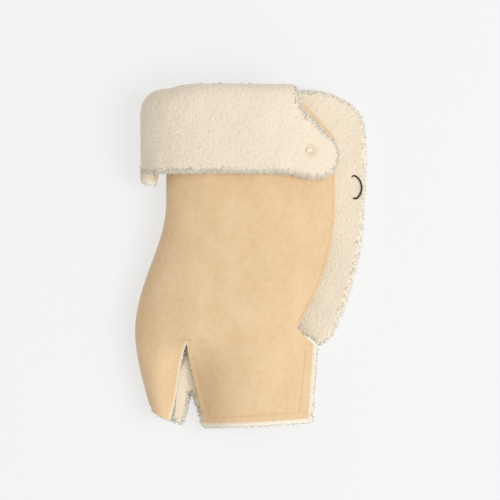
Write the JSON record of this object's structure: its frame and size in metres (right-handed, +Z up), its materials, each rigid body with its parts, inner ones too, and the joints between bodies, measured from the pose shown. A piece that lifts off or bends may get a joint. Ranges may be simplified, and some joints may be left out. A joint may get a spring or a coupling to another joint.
{
  "type": "shearling mitt",
  "caption": "Open-ended shearling hand mitt with a turned-down wool cuff, thumb slit, side vent flap, elastic loop and toggle.",
  "frame": {"origin": "centre of the mitt's outline, on the surface it lies on", "axes": "+Y from the finger end to the cuff, +Z up out of the surface through the front panel, +X towards the vent"},
  "size_m": [0.2199, 0.328, 0.0778],
  "materials": {
    "suede": "brushed suede nap, matt",
    "fleece": "short curled wool pile, matt",
    "thread": "twisted sewing thread",
    "elastic": "braided round elastic, dark brown",
    "toggle": "polished horn-like resin"
  },
  "bodies": {
    "mitt": {"front_hide": "suede", "front_fleece": "fleece", "back_hide": "suede", "back_fleece": "fleece", "front_cuff_hide": "suede", "front_cuff_fleece": "fleece", "back_cuff_hide": "suede", "back_cuff_fleece": "fleece", "hand_topstitch": "thread", "vent_topstitch": "thread", "bar_tack": "thread", "left_seam_thread": "thread"},
    "cuff_tip": {"cuff_tip_hide": "suede", "cuff_tip_fleece": "fleece", "toggle_shank": "thread", "toggle_stay": "toggle"},
    "toggle": {"toggle": "toggle"},
    "flap": {"flap_hide": "suede", "flap_fleece": "fleece", "loop_stitch_upper": "thread", "loop_stitch_lower": "thread"},
    "loop": {"closure_loop": "elastic"}
  },
  "joints": [
    {"name": "flap_fold", "type": "hinge", "parent": "mitt", "child": "flap", "pos_m": [0.084, 0.05, 0.012], "axis": [0, -1, 0], "range_deg": [0, 90]},
    {"name": "cuff_tip_lift", "type": "hinge", "parent": "mitt", "child": "cuff_tip", "pos_m": [0.04, 0.1, 0.0722], "axis": [0, -1, 0], "range_deg": [0, 100]},
    {"name": "toggle_turn", "type": "hinge", "parent": "cuff_tip", "child": "toggle", "pos_m": [0.05545, 0.0995, 0.06578], "axis": [0.4209, 0, 0.9071], "range_deg": [-90, 90]},
    {"name": "loop_swing", "type": "hinge", "parent": "flap", "child": "loop", "pos_m": [0.0947, 0.074, 0.01155], "axis": [0.1138, -0.9935, 0], "range_deg": [0, 165]}
  ]
}
